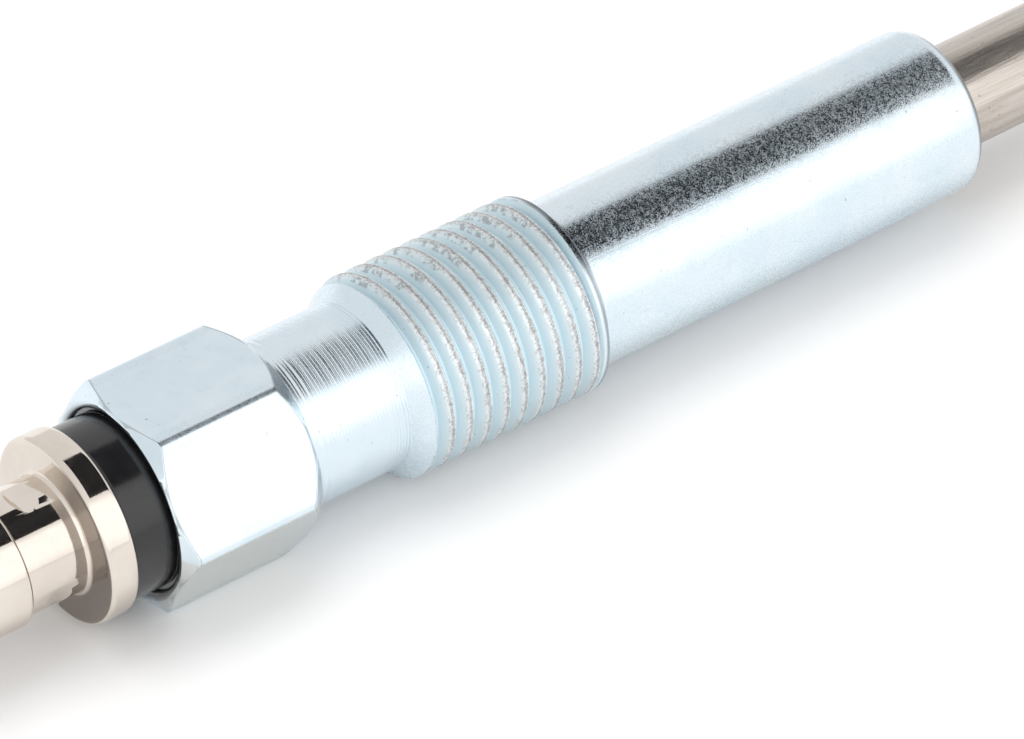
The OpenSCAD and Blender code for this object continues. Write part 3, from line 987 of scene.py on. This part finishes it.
def dress_inner_pieces():
    """Finishes of the pieces that the shell, the sheath and the terminal hide."""
    for name, finish in INNER_FINISHES.items():
        node = frame["nodes"][name]
        node.data.materials.clear()
        node.data.materials.append(inner_finish(*finish))


# Stage, light and camera, in metres

FLOOR_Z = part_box("shell")[0].z
FLOOR_SIZE = 4.0
FLOOR_WHITE = (0.78, 0.78, 0.78, 1)
FLOOR_GLOW = 0.05
CARD_PLACE = (0.122, 0, 0.2)
CARD_SIZE = (0.144, 0.208, 1)
CARD_BLACK = (0.022, 0.022, 0.024, 1)
WHITE = (1, 1, 1, 1)

# Levels of the tent, and the angles in degrees between which they change, from the top towards the front.
BACK_LEVEL = 0.9
TOP_LEVEL = 1.06
FRONT_GAIN = 0.42
LOW_SHARE = 0.4
TOP_TURN = (-10, 30)
FRONT_TURN = (27, 39)
LOW_TURN = (75, 95)

KEY_PLACE = (0.0, 0.12, 0.6)
KEY_AIM = (0.02, 0, 0)
KEY_WIDTH = 0.5
KEY_DEPTH = 0.4
KEY_POWER = 1.5

CAMERA_PLACE = (-0.15693, -0.22092, 0.22663)
CAMERA_AZIMUTH = math.radians(-37.03)
CAMERA_ELEVATION = math.radians(39.84)
CAMERA_ROLL = math.radians(-0.32)
CAMERA_NEAR = 0.01
CAMERA_FAR = 20
FOCAL_PIXELS = 6411.0
PHOTO_WIDTH = 1024
SENSOR = 36.0


def background_rays(tree):
    """1 for rays that come straight from the camera, from a reflection or through glass."""
    rays = tree.nodes.new("ShaderNodeLightPath").outputs
    seen = larger(tree, rays["Is Camera Ray"], rays["Is Glossy Ray"])
    return larger(tree, seen, rays["Is Transmission Ray"])


def stage_plane(name, size, place, finish, colour, roughness):
    """Square plane with a plain finish that doesn't shine, and that finish's tree and shader."""
    bpy.ops.object.select_all(action="DESELECT")
    bpy.ops.mesh.primitive_plane_add(size=size, location=place)
    plane = bpy.context.active_object
    plane.name = name
    material = bpy.data.materials.new(finish)
    material.use_nodes = True
    shader = material.node_tree.nodes["Principled BSDF"]
    shader.inputs["Base Color"].default_value = colour
    shader.inputs["Roughness"].default_value = roughness
    shader.inputs["Specular IOR Level"].default_value = 0.0
    plane.data.materials.append(material)
    return plane, material.node_tree, shader


def make_floor():
    """White floor that keeps a soft shadow."""
    floor, tree, shader = stage_plane("floor", FLOOR_SIZE, (0, 0, FLOOR_Z), "floor_white", FLOOR_WHITE, 0.9)
    shader.inputs["Emission Color"].default_value = WHITE
    glow = product(tree, background_rays(tree), FLOOR_GLOW)
    tree.links.new(glow, shader.inputs["Emission Strength"])


def make_card():
    """Black card overhead, seen only in reflections, for the dark band along the plug."""
    card = stage_plane("card_overhead", 1, CARD_PLACE, "card_black", CARD_BLACK, 1.0)[0]
    card.scale = CARD_SIZE
    card.visible_camera = False
    card.visible_diffuse = False
    card.visible_shadow = False


def turn_step(tree, angle, turn, first, last):
    """Level that changes from the first to the last between two angles in degrees."""
    return remap(tree, angle, math.radians(turn[0]), math.radians(turn[1]), first, last)


def make_world():
    """White tent, brightest at the front and paler at the back."""
    world = bpy.data.worlds.new("studio")
    bpy.context.scene.world = world
    world.use_nodes = True
    tree = world.node_tree
    background = tree.nodes["Background"]
    angle = turn_angle(tree, tree.nodes.new("ShaderNodeTexCoord").outputs["Generated"])
    level = turn_step(tree, angle, TOP_TURN, BACK_LEVEL, TOP_LEVEL)
    rise = turn_step(tree, angle, FRONT_TURN, 0.0, FRONT_GAIN)
    fall = turn_step(tree, angle, LOW_TURN, 1.0, LOW_SHARE)
    level = total(tree, level, product(tree, rise, fall))
    is_camera = tree.nodes.new("ShaderNodeLightPath").outputs["Is Camera Ray"]
    tree.links.new(larger(tree, level, is_camera), background.inputs["Strength"])
    background.inputs["Color"].default_value = WHITE


def make_key_light():
    """Large soft light above, a little to the back, which gives the floor its shadow."""
    light = bpy.data.lights.new("key", "AREA")
    light.shape = "RECTANGLE"
    light.size = KEY_WIDTH
    light.size_y = KEY_DEPTH
    light.energy = KEY_POWER
    lamp = bpy.data.objects.new("key", light)
    bpy.context.scene.collection.objects.link(lamp)
    lamp.location = KEY_PLACE
    aim = Vector(KEY_AIM) - Vector(KEY_PLACE)
    lamp.rotation_mode = "QUATERNION"
    lamp.rotation_quaternion = aim.to_track_quat("-Z", "Y")
    lamp.visible_glossy = False


def make_camera():
    """Camera at the photograph's place, with its long lens."""
    data = bpy.data.cameras.new("camera")
    camera = bpy.data.objects.new("camera", data)
    bpy.context.scene.collection.objects.link(camera)
    data.sensor_width = SENSOR
    data.lens = FOCAL_PIXELS * SENSOR / PHOTO_WIDTH
    data.clip_start = CAMERA_NEAR
    data.clip_end = CAMERA_FAR
    turn = Matrix.Rotation(CAMERA_AZIMUTH, 4, "Z") @ Matrix.Rotation(math.pi / 2 - CAMERA_ELEVATION, 4, "X")
    camera.matrix_world = Matrix.Translation(CAMERA_PLACE) @ turn @ Matrix.Rotation(CAMERA_ROLL, 4, "Z")
    bpy.context.scene.camera = camera


make_camera()
make_world()
make_floor()
make_card()
make_key_light()
make_shell(zinc_plate())
make_terminal(bright_nickel())
make_insulator(black_moulding())
make_sheath(drawn_sheath())
dress_inner_pieces()

bpy.context.scene.view_settings.view_transform = "Standard"
